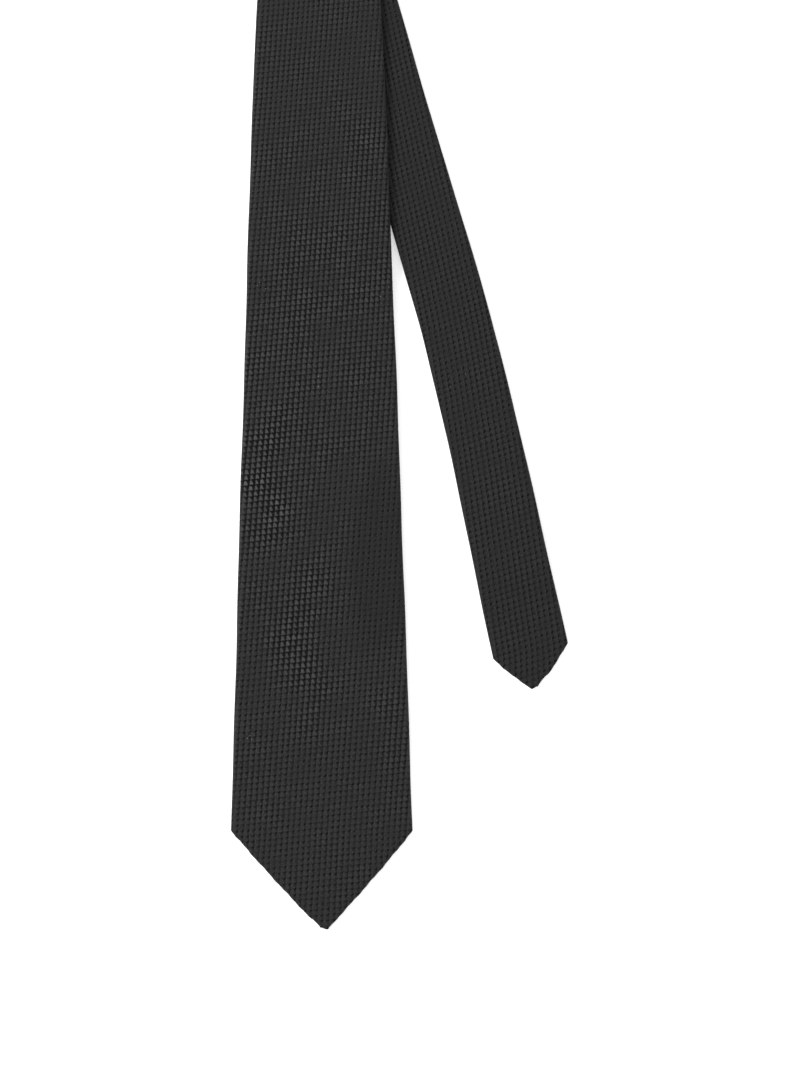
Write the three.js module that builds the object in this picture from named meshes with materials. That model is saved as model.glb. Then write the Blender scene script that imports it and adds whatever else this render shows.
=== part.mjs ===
// A woven necktie, untied and draped: the broad blade lies face up over the slimmer
// tail, and the neck band rises on its lower edge and runs round in an open loop.
// Millimetres, +Z up, the blade's point towards -Y.
//
// Every piece is built in the tie's own strip coordinates and then laid along its
// centreline: s is the length from the blade's tip, u is the distance across from the
// centreline, and n is the height above the back face.

import * as THREE from 'three';

// ---- driving dimensions: outline ------------------------------------------------

const NIB = 2;                     // half width of the blunt tip of either point
const BLADE_POINT = 43.4;          // length of the blade's point
const TAIL_POINT = 17;             // length of the tail's point
const NECK_HALF_WIDTH = 15.4;
// Half widths of the blade and of the tail, each against the length from its own tip.
const BLADE_TAPER = [[BLADE_POINT, 40], [190, 35.4], [300, 31.6], [410, 27.0],
  [500, 21.3], [566, 17.2], [620, NECK_HALF_WIDTH], [660, NECK_HALF_WIDTH]];
const TAIL_TAPER = [[TAIL_POINT, 16.9], [130, 15.9], [300, NECK_HALF_WIDTH],
  [400, NECK_HALF_WIDTH]];

// ---- driving dimensions: the run of the centreline ------------------------------

const CROSSING = 470;              // blade tip to where the two legs cross
const TAIL_LEAN = 16.4;            // lean of the tail at the crossing, degrees
const TAIL_STRAIGHT = 172;         // crossing to where the tail starts to bend
const TAIL_BEND = 115;
const TAIL_BEND_TURN = 4.1;        // degrees
const TAIL_END = 89;               // the rest of the tail, down to its tip
const LIMB_BEND = 110;             // length of the bend in each limb of the loop
const LIMB_SPLAY = 22;             // greatest lean of a limb from the loop's axis, degrees
const LOOP_RADIUS = 64;            // radius round the back of the neck
const FLAT_PAST_CROSSING = 96;     // each limb lies flat this far, up to its bias seam
const ROLL_LENGTH = 110;           // each limb then rolls on to its edge over this length

// ---- driving dimensions: thickness ----------------------------------------------

const CLOTH = 0.6;                 // outer cloth
const GAP = 0.3;                   // clearance between pieces that touch
const TIPPING = 0.3;
const INTERLINING = 1.5;
const THREAD = 0.4;
const LABEL = 0.4;
const KEEPER = 0.6;
const EDGE = 0.9;                  // bevel that rounds the folded edges
const SEAM_HALF_GAP = 0.5;         // half the gap between the two back flaps
const SEAM_GAP = 2 * GAP + THREAD; // gap in the shell at each bias seam

const TIPPING_N = CLOTH + GAP;
const INTERLINING_N = TIPPING_N + TIPPING + GAP;
const FRONT_N = INTERLINING_N + INTERLINING + GAP;
const THICK = FRONT_N + CLOTH;

// ---- driving dimensions: how high the back face lies ----------------------------

const OVER_TAIL = THICK + 2 * GAP + 0.2;
const OVER_LABEL = 2.4;
const OVER_TACK = 1.3;

// ---- driving dimensions: the back ------------------------------------------------

const BLADE_HEM = 11.3;            // turned hem of the blade's point, measured across
const TAIL_HEM = 7;
const BLADE_CLOSE = 104;           // tip to where the two flaps meet
const TAIL_CLOSE = 58;
const KEEPER_AT = 214;
const KEEPER_WIDTH = 12;
const KEEPER_HALF_SPAN = 21;
const LABEL_AT = 176;
const LABEL_LENGTH = 26;
const LABEL_HALF_SPAN = 24;
const CARE_AT = 252;
const CARE_LENGTH = 30;
const CARE_HALF_SPAN = 9;
const TACK_HALF_SPAN = 4.5;
const TACK_LENGTH = 1.4;
const LAYER_INSET = 1.5;           // inner layers stop this far inside the folded edge

// ---- strip coordinates -----------------------------------------------------------

const rad = THREE.MathUtils.degToRad;
const smooth = THREE.MathUtils.smoothstep;

// A smooth value through [position, value] stations, flat beyond both ends.
function through(stations, s) {
  const last = stations.length - 1;
  if (s <= stations[0][0]) return stations[0][1];
  if (s >= stations[last][0]) return stations[last][1];
  const slope = (i) => {
    const a = stations[Math.max(i - 1, 0)];
    const b = stations[Math.min(i + 1, last)];
    return (b[1] - a[1]) / (b[0] - a[0]);
  };
  let i = 0;
  while (s > stations[i + 1][0]) i += 1;
  const [s0, v0] = stations[i];
  const [s1, v1] = stations[i + 1];
  const length = s1 - s0;
  const t = (s - s0) / length;
  const curve = (1 + 2 * t) * (1 - t) ** 2 * v0 + t * t * (3 - 2 * t) * v1;
  return curve + length * (t * (1 - t) ** 2 * slope(i) - t * t * (1 - t) * slope(i + 1));
}

// The centreline is a chain of straight runs and arcs: [length, left turn in degrees].
// The two limbs mirror each other about the loop's axis, so the loop closes exactly
// where the straight part of each limb has the length worked out here.
const halfLean = TAIL_LEAN / 2;
const limbRadius = LIMB_BEND / rad(LIMB_SPLAY - halfLean);
const bendReach = limbRadius * (Math.cos(rad(halfLean)) - Math.cos(rad(LIMB_SPLAY)));
const limbStraight = (LOOP_RADIUS * Math.cos(rad(LIMB_SPLAY)) - bendReach)
  / Math.sin(rad(LIMB_SPLAY));
const loopTurn = 180 + 2 * LIMB_SPLAY;
const RUNS = [
  [CROSSING, 0],
  [LIMB_BEND, halfLean - LIMB_SPLAY],
  [limbStraight, 0],
  [LOOP_RADIUS * rad(loopTurn), loopTurn],
  [limbStraight, 0],
  [LIMB_BEND, halfLean - LIMB_SPLAY],
  [TAIL_STRAIGHT, 0],
  [TAIL_BEND, -TAIL_BEND_TURN],
  [TAIL_END, 0],
];
const LENGTH = RUNS.reduce((sum, [length]) => sum + length, 0);
const SECOND_CROSSING = LENGTH - TAIL_STRAIGHT - TAIL_BEND - TAIL_END;
const BLADE_SEAM = CROSSING + FLAT_PAST_CROSSING;
const TAIL_SEAM = SECOND_CROSSING - FLAT_PAST_CROSSING;

// Place and heading of the centreline on the table, at length s from the blade's tip.
function centreline(s) {
  let heading = Math.PI / 2;
  const at = new THREE.Vector2(0, 0);
  let left = s;
  for (const [length, turn] of RUNS) {
    const run = Math.min(left, length);
    const turned = rad(turn) * run / length;
    const half = turned / 2;
    const chord = turned === 0 ? run : run * Math.sin(half) / half;
    at.x += chord * Math.cos(heading + half);
    at.y += chord * Math.sin(heading + half);
    heading += turned;
    left -= run;
    if (left <= 0) break;
  }
  return { x: at.x, y: at.y, heading };
}

function halfWidth(s) {
  const tailS = LENGTH - s;
  if (s < BLADE_POINT) return NIB + (BLADE_TAPER[0][1] - NIB) * s / BLADE_POINT;
  if (tailS < TAIL_POINT) return NIB + (TAIL_TAPER[0][1] - NIB) * tailS / TAIL_POINT;
  return s < LENGTH / 2 ? through(BLADE_TAPER, s) : through(TAIL_TAPER, tailS);
}

// Roll of the strip on to its lower edge: 0 flat, a quarter turn round the neck.
function roll(s) {
  const up = smooth(s, BLADE_SEAM + 2, BLADE_SEAM + 2 + ROLL_LENGTH);
  const down = smooth(s, TAIL_SEAM - 2 - ROLL_LENGTH, TAIL_SEAM - 2);
  return Math.PI / 2 * (up - down);
}

// Height of the strip's lowest point above the table.
const LIFT = [[60, 0], [90, OVER_TACK], [115, OVER_TACK], [150, OVER_LABEL],
  [272, OVER_LABEL], [296, OVER_TAIL], [BLADE_SEAM + 2, OVER_TAIL],
  [BLADE_SEAM + ROLL_LENGTH, 0], [LENGTH - 110, 0], [LENGTH - 72, OVER_TACK],
  [LENGTH - 52, OVER_TACK], [LENGTH - 32, 0]];

function lift(s) {
  let i = 0;
  while (i < LIFT.length - 1 && s > LIFT[i + 1][0]) i += 1;
  const [s0, z0] = LIFT[i];
  const [s1, z1] = LIFT[Math.min(i + 1, LIFT.length - 1)];
  return s1 > s0 ? z0 + (z1 - z0) * smooth(s, s0, s1) : z0;
}

// The point of space at strip coordinates (s, u, n).
function place(s, u, n) {
  const { x, y, heading } = centreline(s);
  const tilt = roll(s);
  const right = new THREE.Vector3(Math.sin(heading), -Math.cos(heading), 0);
  const up = new THREE.Vector3(0, 0, 1);
  const across = right.clone().multiplyScalar(Math.cos(tilt)).addScaledVector(up, -Math.sin(tilt));
  const normal = right.multiplyScalar(Math.sin(tilt)).addScaledVector(up, Math.cos(tilt));
  const middle = THICK / 2;
  const z = lift(s) + halfWidth(s) * Math.sin(tilt) + middle * Math.cos(tilt);
  return new THREE.Vector3(x, y, z).addScaledVector(across, u).addScaledVector(normal, n - middle);
}

// Cross sections stand closer together where the strip rolls and bends.
const KEYS = [14, 28, BLADE_POINT, 60, 75, 90, BLADE_CLOSE, 115, 150, 190, 230, 272, 284, 296,
  340, 385, 430, CROSSING, 505, 535, LENGTH - TAIL_CLOSE, LENGTH - TAIL_POINT, LENGTH - 10,
  LENGTH - 32, LENGTH - 42, LENGTH - 52, LENGTH - 72, LENGTH - 90, LENGTH - 110, LENGTH - 145,
  LENGTH - 175, LENGTH - 204, LENGTH - 250, LENGTH - 290, LENGTH - 330, LENGTH - 376,
  LENGTH - 420, LENGTH - 450];
const STATIONS = [...KEYS];
const ROLL_STEP = 5;
const BEND_STEP = 9;
for (let s = BLADE_SEAM + 6; s < BLADE_SEAM + ROLL_LENGTH; s += ROLL_STEP) STATIONS.push(s);
for (let s = BLADE_SEAM + ROLL_LENGTH + 4; s < TAIL_SEAM - ROLL_LENGTH; s += BEND_STEP) STATIONS.push(s);
for (let s = TAIL_SEAM - ROLL_LENGTH; s < TAIL_SEAM - 3; s += ROLL_STEP) STATIONS.push(s);
STATIONS.sort((a, b) => a - b);

function stationsBetween(from, to) {
  const near = 1.5;
  return [from, ...STATIONS.filter((s) => s > from + near && s < to - near), to];
}

// ---- solids -----------------------------------------------------------------------

const FINISH = {
  shell: { color: 0x2c2c2d, roughness: 0.72 },
  lining: { color: 0x1b1b1e, roughness: 0.38 },
  interlining: { color: 0xcfc8b8, roughness: 0.95 },
  thread: { color: 0x202022, roughness: 0.6 },
  label: { color: 0x26282c, roughness: 0.5 },
};

const tie = new THREE.Group();

function addMesh(name, finish, positions, triangles) {
  const geometry = new THREE.BufferGeometry();
  geometry.setAttribute('position', new THREE.Float32BufferAttribute(positions, 3));
  geometry.setIndex(triangles);
  geometry.computeVertexNormals();
  const mesh = new THREE.Mesh(
    geometry, new THREE.MeshStandardMaterial({ ...FINISH[finish], metalness: 0 }));
  mesh.name = name;
  tie.add(mesh);
}

// Sweeps a section along the strip. The section is a wall between two matching paths
// of [u, n] points, outer and inner, given for each s. Every ring is closed round the
// wall's two ends, and both ends of the sweep are capped.
function sweep(name, finish, stations, outer, inner) {
  const positions = [];
  const across = [];
  let count = 0;
  for (const s of stations) {
    const near = outer(s);
    const far = inner(s);
    count = near.length;
    for (const [u, n] of [...near, ...far]) {
      positions.push(...place(s, u, n).toArray());
      across.push(u);
    }
  }
  const ring = 2 * count;
  const triangles = [];
  const quad = (a, b, c, d) => triangles.push(a, b, c, a, c, d);
  const loop = [...Array(count).keys(), ...[...Array(count).keys()].map((i) => ring - 1 - i)];
  for (let k = 0; k < stations.length - 1; k += 1) {
    for (let i = 0; i < ring; i += 1) {
      const a = k * ring + loop[i];
      const b = k * ring + loop[(i + 1) % ring];
      // Every face is split along the same diagonal of the strip, so that layers
      // keep their clearance where the strip twists.
      if (across[b] >= across[a]) quad(a, b, b + ring, a + ring);
      else quad(b, b + ring, a + ring, a);
    }
  }
  const end = (stations.length - 1) * ring;
  for (let i = 0; i < count - 1; i += 1) {
    quad(i, count + i, count + i + 1, i + 1);
    quad(end + i, end + i + 1, end + count + i + 1, end + count + i);
  }
  addMesh(name, finish, positions, triangles);
}

// A flat band from one half width to the other, between two heights.
function band(name, finish, stations, reach, low, high, parts = 4) {
  const path = (n) => (s) => {
    const [from, to] = reach(s);
    return Array.from({ length: parts + 1 }, (_, i) => [from + (to - from) * i / parts, n]);
  };
  sweep(name, finish, stations, path(low), path(high));
}

// Inner edge of each back flap: a hem round the point, then a V that closes upwards.
function flapEdge(s) {
  const tailEnd = s > LENGTH / 2;
  const fromTip = tailEnd ? LENGTH - s : s;
  const point = tailEnd ? TAIL_POINT : BLADE_POINT;
  const hem = tailEnd ? TAIL_HEM : BLADE_HEM;
  const close = tailEnd ? TAIL_CLOSE : BLADE_CLOSE;
  const shoulder = halfWidth(tailEnd ? LENGTH - point : point) - hem;
  const open = fromTip < point
    ? halfWidth(s) - hem
    : shoulder * (close - fromTip) / (close - point);
  return Math.max(SEAM_HALF_GAP, open);
}

// The folded outer cloth in cross section: front, two rounded edges and two back flaps.
function shellPath(s, inset) {
  const w = halfWidth(s);
  const flap = flapEdge(s);
  const bevel = EDGE - inset * 0.4;
  const low = inset;
  const high = THICK - inset;
  const side = w - inset;
  const flat = side - bevel;
  const half = [[flap, low], [(flap + flat) / 2, low], [flat, low], [side, low + bevel],
    [side, high - bevel], [flat, high], [flat / 2, high]];
  const mirrored = half.map(([u, n]) => [-u, n]).reverse();
  return [...half, [0, high], ...mirrored];
}

function shell(name, from, to) {
  sweep(name, 'shell', stationsBetween(from, to), (s) => shellPath(s, 0), (s) => shellPath(s, CLOTH));
}

function layer(name, finish, from, to, low, high) {
  const half = (s) => {
    const inPoint = s < BLADE_POINT || s > LENGTH - TAIL_POINT;
    return halfWidth(s) - LAYER_INSET - (inPoint ? EDGE : 0);
  };
  band(name, finish, stationsBetween(from, to), (s) => [-half(s), half(s)], low, high);
}

const halfSeam = SEAM_GAP / 2;
const POINT_CLEAR = 7;             // inner layers start this far from either tip

// Outer cloth, in three lengths joined by bias seams.
shell('blade_shell', 0, BLADE_SEAM - halfSeam);
shell('neck_shell', BLADE_SEAM + halfSeam, TAIL_SEAM - halfSeam);
shell('tail_shell', TAIL_SEAM + halfSeam, LENGTH);

// Woollen interlining that gives the tie its body.
const liningTop = INTERLINING_N + INTERLINING;
layer('blade_interlining', 'interlining', POINT_CLEAR, BLADE_SEAM - halfSeam, INTERLINING_N, liningTop);
layer('neck_interlining', 'interlining', BLADE_SEAM + halfSeam, TAIL_SEAM - halfSeam,
  INTERLINING_N, liningTop);
layer('tail_interlining', 'interlining', TAIL_SEAM + halfSeam, LENGTH - POINT_CLEAR,
  INTERLINING_N, liningTop);

// Lining that tips the back of each point, seen in the V between the flaps.
const tippingTop = TIPPING_N + TIPPING;
layer('blade_tipping', 'lining', POINT_CLEAR, BLADE_CLOSE + 20, TIPPING_N, tippingTop);
layer('tail_tipping', 'lining', LENGTH - TAIL_CLOSE - 14, LENGTH - POINT_CLEAR,
  TIPPING_N, tippingTop);

// The slip stitch that closes the back, one length of thread in each part of the tie.
const threadLow = (CLOTH - THREAD) / 2;
const seamReach = () => [-THREAD / 2, THREAD / 2];
function slipStitch(name, from, to) {
  band(name, 'thread', stationsBetween(from, to), seamReach, threadLow, threadLow + THREAD, 1);
}
slipStitch('blade_slip_stitch', BLADE_CLOSE + 4, BLADE_SEAM - halfSeam);
slipStitch('neck_slip_stitch', BLADE_SEAM + halfSeam, TAIL_SEAM - halfSeam);
slipStitch('tail_slip_stitch', TAIL_SEAM + halfSeam, LENGTH - TAIL_CLOSE - 4);

// Seam stitching across each bias seam, inside the gap between the shells.
function seamStitch(name, at) {
  const half = halfWidth(at) - LAYER_INSET;
  const reach = () => [-half, half];
  const low = THICK - CLOTH + threadLow;
  band(name, 'thread', [at - THREAD / 2, at + THREAD / 2], reach, low, low + THREAD);
}
seamStitch('blade_seam_stitch', BLADE_SEAM);
seamStitch('tail_seam_stitch', TAIL_SEAM);

// Stitching that holds the tipping to the hem, one row down each side of each V.
function hemStitch(name, from, to, side) {
  const reach = (s) => {
    const edge = flapEdge(s) - 2 * GAP;
    return [side * (edge - THREAD), side * edge].sort((a, b) => a - b);
  };
  band(name, 'thread', stationsBetween(from, to), reach, threadLow, threadLow + THREAD, 1);
}
const hemRows = [['left', -1], ['right', 1]];
for (const [label, side] of hemRows) {
  hemStitch(`blade_hem_stitch_${label}`, 18, BLADE_CLOSE - 8, side);
}
for (const [label, side] of hemRows) {
  hemStitch(`tail_hem_stitch_${label}`, LENGTH - TAIL_CLOSE + 8, LENGTH - 14, -side);
}

// Bar tacks that close each V, across the seam on the outside of the flaps.
const trimTop = -GAP;
function barTack(name, at) {
  const reach = () => [-TACK_HALF_SPAN, TACK_HALF_SPAN];
  const ends = [at - TACK_LENGTH / 2, at + TACK_LENGTH / 2];
  band(name, 'thread', ends, reach, trimTop - THREAD, trimTop, 2);
}
barTack('blade_bar_tack', BLADE_CLOSE + 1);
barTack('tail_bar_tack', LENGTH - TAIL_CLOSE - 1);

// Plain woven label and folded care tag, flat on the back of the blade.
function flatTag(name, at, length, halfSpan, low, high) {
  const reach = () => [-halfSpan, halfSpan];
  band(name, 'label', stationsBetween(at - length / 2, at + length / 2), reach, low, high, 2);
}
flatTag('woven_label', LABEL_AT, LABEL_LENGTH, LABEL_HALF_SPAN, trimTop - LABEL, trimTop);
flatTag('care_tag', CARE_AT, CARE_LENGTH, CARE_HALF_SPAN, trimTop - 2 * LABEL, trimTop);

// Stitching along both ends of the woven label.
for (const [label, side] of hemRows) {
  const at = side * (LABEL_HALF_SPAN - 2);
  const reach = () => [at - THREAD / 2, at + THREAD / 2];
  const low = trimTop - LABEL - GAP - THREAD;
  const ends = [LABEL_AT - LABEL_LENGTH / 2 + 2, LABEL_AT + LABEL_LENGTH / 2 - 2];
  band(`label_stitch_${label}`, 'thread', ends, reach, low, low + THREAD, 1);
}

// Keeper loop: a band across the back, held at both ends and open in the middle, with
// a tack at each end.
const keeperRise = 0.7;            // room for the tail's cloth behind the band
const keeperFoot = 4;
const keeperEnds = [KEEPER_AT - KEEPER_WIDTH / 2, KEEPER_AT + KEEPER_WIDTH / 2];
function keeperPath(top) {
  const inner = KEEPER_HALF_SPAN - keeperFoot;
  const flat = inner - 2;
  return () => [[-KEEPER_HALF_SPAN, top], [-inner, top], [-flat, top - keeperRise],
    [flat, top - keeperRise], [inner, top], [KEEPER_HALF_SPAN, top]];
}
sweep('keeper_loop', 'shell', keeperEnds, keeperPath(trimTop - KEEPER), keeperPath(trimTop));
for (const [label, side] of hemRows) {
  const at = side * (KEEPER_HALF_SPAN - 1.5);
  const reach = () => [at - THREAD, at + THREAD];
  const low = trimTop - KEEPER - GAP - THREAD;
  const ends = [keeperEnds[0] + 2, keeperEnds[1] - 2];
  band(`keeper_tack_${label}`, 'thread', ends, reach, low, low + THREAD, 1);
}

// The spare loop of slip-stitch thread that lets the back give, under the tipping.
const SPARE_FROM = BLADE_CLOSE - 30;
const SPARE_TO = BLADE_CLOSE - 9;
const SPARE_HALF_SPAN = 3;
function spareLoop() {
  const low = threadLow;
  const turn = 8;
  const points = [];
  for (let i = 0; i <= turn; i += 1) {
    const angle = Math.PI * i / turn;
    points.push([SPARE_FROM + SPARE_HALF_SPAN - SPARE_HALF_SPAN * Math.sin(angle),
      SPARE_HALF_SPAN * Math.cos(angle)]);
  }
  const path = [[SPARE_TO, SPARE_HALF_SPAN], ...points, [SPARE_TO, -SPARE_HALF_SPAN]];
  const positions = [];
  const half = THREAD / 2;
  path.forEach(([s, u], i) => {
    const [s0, u0] = path[Math.max(i - 1, 0)];
    const [s1, u1] = path[Math.min(i + 1, path.length - 1)];
    const length = Math.hypot(s1 - s0, u1 - u0);
    const sideS = -(u1 - u0) / length * half;
    const sideU = (s1 - s0) / length * half;
    for (const [way, n] of [[1, low], [-1, low], [-1, low + THREAD], [1, low + THREAD]]) {
      positions.push(...place(s + way * sideS, u + way * sideU, n).toArray());
    }
  });
  const triangles = [];
  const quad = (a, b, c, d) => triangles.push(a, b, c, a, c, d);
  for (let k = 0; k < path.length - 1; k += 1) {
    for (let i = 0; i < 4; i += 1) {
      const j = (i + 1) % 4;
      quad(4 * k + i, 4 * k + j, 4 * k + 4 + j, 4 * k + 4 + i);
    }
  }
  const end = 4 * (path.length - 1);
  quad(0, 3, 2, 1);
  quad(end, end + 1, end + 2, end + 3);
  addMesh('spare_thread_loop', 'thread', positions, triangles);
}
spareLoop();

// ---- one direction of faces, and the origin under the middle of the tie ------------

function volume(geometry) {
  const at = geometry.attributes.position;
  const [a, b, c] = [new THREE.Vector3(), new THREE.Vector3(), new THREE.Vector3()];
  let sum = 0;
  for (let i = 0; i < geometry.index.count; i += 3) {
    a.fromBufferAttribute(at, geometry.index.getX(i));
    b.fromBufferAttribute(at, geometry.index.getX(i + 1));
    c.fromBufferAttribute(at, geometry.index.getX(i + 2));
    sum += a.dot(b.cross(c)) / 6;
  }
  return sum;
}

for (const mesh of tie.children) {
  if (volume(mesh.geometry) < 0) {
    mesh.geometry.setIndex([...mesh.geometry.index.array].reverse());
  }
}

const bounds = new THREE.Box3().setFromObject(tie);
const middle = bounds.getCenter(new THREE.Vector3());
tie.position.set(-middle.x, -middle.y, -bounds.min.z);
tie.updateMatrixWorld(true);

export default tie;
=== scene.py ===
import math

import bpy
import numpy as np
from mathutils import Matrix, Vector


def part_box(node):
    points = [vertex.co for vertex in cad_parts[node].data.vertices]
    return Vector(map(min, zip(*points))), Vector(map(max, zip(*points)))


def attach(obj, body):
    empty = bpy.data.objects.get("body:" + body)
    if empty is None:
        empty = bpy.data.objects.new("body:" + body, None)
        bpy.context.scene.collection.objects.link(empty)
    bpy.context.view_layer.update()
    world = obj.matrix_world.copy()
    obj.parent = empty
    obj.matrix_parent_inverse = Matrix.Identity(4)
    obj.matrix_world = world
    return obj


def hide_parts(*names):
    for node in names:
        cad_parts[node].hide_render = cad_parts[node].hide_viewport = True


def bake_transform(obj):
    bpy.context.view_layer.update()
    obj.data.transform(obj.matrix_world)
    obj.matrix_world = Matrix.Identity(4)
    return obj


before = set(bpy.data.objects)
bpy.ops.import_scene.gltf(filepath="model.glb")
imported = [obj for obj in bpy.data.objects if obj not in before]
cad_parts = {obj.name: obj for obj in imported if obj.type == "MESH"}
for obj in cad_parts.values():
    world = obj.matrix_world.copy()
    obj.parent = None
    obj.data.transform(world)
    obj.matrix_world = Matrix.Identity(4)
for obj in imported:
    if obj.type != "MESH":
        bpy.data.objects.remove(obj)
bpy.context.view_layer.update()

bl_info = {
    "name": "Draped Necktie",
    "version": (1, 0, 0),
    "blender": (4, 5, 0),
    "location": "3D View > Sidebar > Necktie",
    "description": "Builds a folded, interlined woven necktie round a fixed frame",
    "category": "Object",
}

MM = 0.001

# ---- the tie's own dimensions, in millimetres --------------------------------------
# The strip runs from the blade's tip, s = 0, round the neck to the tail's tip.
# u is the distance across from the centreline and n the height above the back face.

BLADE_POINT = 43.4
TAIL_POINT = 16.5
NECK_HALF_WIDTH = 15.4
BLADE_TAPER = [(BLADE_POINT, 40), (190, 35.4), (300, 31.6), (374, 29), (410, 27.0),
               (500, 21.3), (566, 17.2), (620, NECK_HALF_WIDTH), (660, NECK_HALF_WIDTH)]
TAIL_TAPER = [(TAIL_POINT, 16.9), (130, 15.9), (300, NECK_HALF_WIDTH), (400, NECK_HALF_WIDTH)]
# Each point runs straight towards APEX and ends in a blunt, hand-turned nib.
APEX = 1.5
POINT_BULGE = 0.7
BLADE_NIB = 1.9
TAIL_NIB = 1.1

CROSSING = 470
TAIL_LEAN = 16.4
TAIL_STRAIGHT = 172
TAIL_BEND = 115
TAIL_BEND_TURN = 4.1
TAIL_END = 89
LIMB_BEND = 110
LIMB_SPLAY = 22
LOOP_RADIUS = 64
FLAT_PAST_CROSSING = 96
ROLL_LENGTH = 110

THICK = 3.9
OVER_TAIL = 4.7
OVER_LABEL = 2.4
OVER_TACK = 1.3

BLADE_HEM = 11.3
TAIL_HEM = 7
BLADE_CLOSE = 104
TAIL_CLOSE = 58
KEEPER_AT = 214
LABEL_AT = 176
CARE_AT = 252

# Inside the fold: levels are above the back face, and a layer's is that of its middle.
TURN_UNDER = 0.52                  # rise of a turned edge over its own flap
TUCKED = 1.1                       # rise of the left flap where the right one laps it
TIPPING_LEVEL = 1.15
TIPPING_THICK = 0.16
TIPPING_END = 7                    # from either tip
CORE_LEVEL = 2.85
CORE_THICK = 0.75
CORE_END = 9                       # from either tip
CORE_GAP = 0.5                     # kept clear at either side of a seam
INNER_INSET = 2.2                  # a layer stops this far short of the fold's edge,
POINT_INSET = 1.6                  # and this much more in the points

# The two back flaps stand apart in the points, then meet, then lap past the centre.
MEETING_GAP = 0.35
RIGHT_LAP = 3
LEFT_LAP = 6.5
LAP_GROWS_IN = 16

SEAM_GAP = 0.1                     # kept clear at either side of a seam
GROOVE_DEPTH = 0.42                # a seam shows as a groove
GROOVE_REACH = 1.3
SKEW_REACH = 60                    # the rows of the mesh turn to a bias seam in this length
NIB_LENGTH = 5
NIB_SKEW = 0.4
TIP_THINNESS = 0.84                # the fold is pressed flatter at either tip,
THIN_REACH = 26                    # and has its full thickness this far from it


def through(stations, s):
    """A smooth value through (position, value) stations, flat beyond both ends."""
    places = [p for p, _ in stations]
    values = [v for _, v in stations]
    if s <= places[0]:
        return values[0]
    if s >= places[-1]:
        return values[-1]

    def slope(i):
        low, high = max(i - 1, 0), min(i + 1, len(places) - 1)
        return (values[high] - values[low]) / (places[high] - places[low])

    i = max(k for k in range(len(places) - 1) if places[k] <= s)
    length = places[i + 1] - places[i]
    t = (s - places[i]) / length
    curve = (1 + 2 * t) * (1 - t) ** 2 * values[i] + t * t * (3 - 2 * t) * values[i + 1]
    return curve + length * (t * (1 - t) ** 2 * slope(i) - t * t * (1 - t) * slope(i + 1))


def smooth(x, low, high):
    """0 below low, 1 above high, and an S between them."""
    t = np.clip((np.asarray(x, float) - low) / (high - low), 0, 1)
    return t * t * (3 - 2 * t)


def loop_runs():
    """The centreline's straights and arcs, as (length, left turn in degrees)."""
    lean, splay = math.radians(TAIL_LEAN / 2), math.radians(LIMB_SPLAY)
    reach = LIMB_BEND / (splay - lean) * (math.cos(lean) - math.cos(splay))
    straight = (LOOP_RADIUS * math.cos(splay) - reach) / math.sin(splay)
    bend = (LIMB_BEND, TAIL_LEAN / 2 - LIMB_SPLAY)
    turn = 180 + 2 * LIMB_SPLAY
    return [(CROSSING, 0), bend, (straight, 0), (LOOP_RADIUS * math.radians(turn), turn),
            (straight, 0), bend, (TAIL_STRAIGHT, 0), (TAIL_BEND, -TAIL_BEND_TURN), (TAIL_END, 0)]


RUNS = loop_runs()
LENGTH = sum(length for length, _ in RUNS)
BLADE_HINGE = CROSSING + FLAT_PAST_CROSSING
TAIL_HINGE = LENGTH - TAIL_STRAIGHT - TAIL_BEND - TAIL_END - FLAT_PAST_CROSSING
SEAM_SHIFT = 38                    # the sewn bias seams lie this far up each limb
BLADE_SEAM = BLADE_HINGE + SEAM_SHIFT
TAIL_SEAM = TAIL_HINGE - SEAM_SHIFT
# Where the cloth flexes as a limb swings, from the neck's side to the limb's.
BLADE_FLEX = (BLADE_HINGE + 10, BLADE_HINGE - 48)
TAIL_FLEX = (TAIL_HINGE - 8, TAIL_HINGE + 44)
LIFT = [(60, 0), (90, OVER_TACK), (115, OVER_TACK), (150, OVER_LABEL), (272, OVER_LABEL),
        (296, OVER_TAIL), (BLADE_HINGE + 2, OVER_TAIL), (BLADE_HINGE + ROLL_LENGTH, 0),
        (LENGTH - 110, 0), (LENGTH - 72, OVER_TACK), (LENGTH - 52, OVER_TACK), (LENGTH - 32, 0)]

# Neither end lies quite straight: how far its middle strays to the strip's right.
SWAY = [(0, 0.95), (BLADE_POINT, 0), (380, -1.25), (480, -1.25), (570, 0), (LENGTH - 380, 0),
        (LENGTH - 240, 0.9), (LENGTH - 165, 0.15), (LENGTH - 120, 0.6),
        (LENGTH - TAIL_POINT, 0.6), (LENGTH, 2.3)]

# Where the strip's own coordinates start, in the frame: the blade's tip.
_low, _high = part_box("blade_shell")
TIP_X = (_low[0] + _high[0]) / 2 / MM
TIP_Y = _low[1] / MM


def run_along(s):
    """Place and heading of the centreline on the table, s from the blade's tip."""
    x, y, heading, left = TIP_X, TIP_Y, math.pi / 2, s
    for length, turn in RUNS:
        run = min(left, length)
        turned = math.radians(turn) * run / length
        chord = run if turned == 0 else run * math.sin(turned / 2) / (turned / 2)
        x += chord * math.cos(heading + turned / 2)
        y += chord * math.sin(heading + turned / 2)
        heading += turned
        left -= run
        if left <= 0:
            break
    return x, y, heading


def point_half_width(from_tip, nib, point, shoulder):
    share = from_tip / point
    return max(nib, APEX + (shoulder - APEX) * share + POINT_BULGE * math.sin(math.pi * share))


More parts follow.
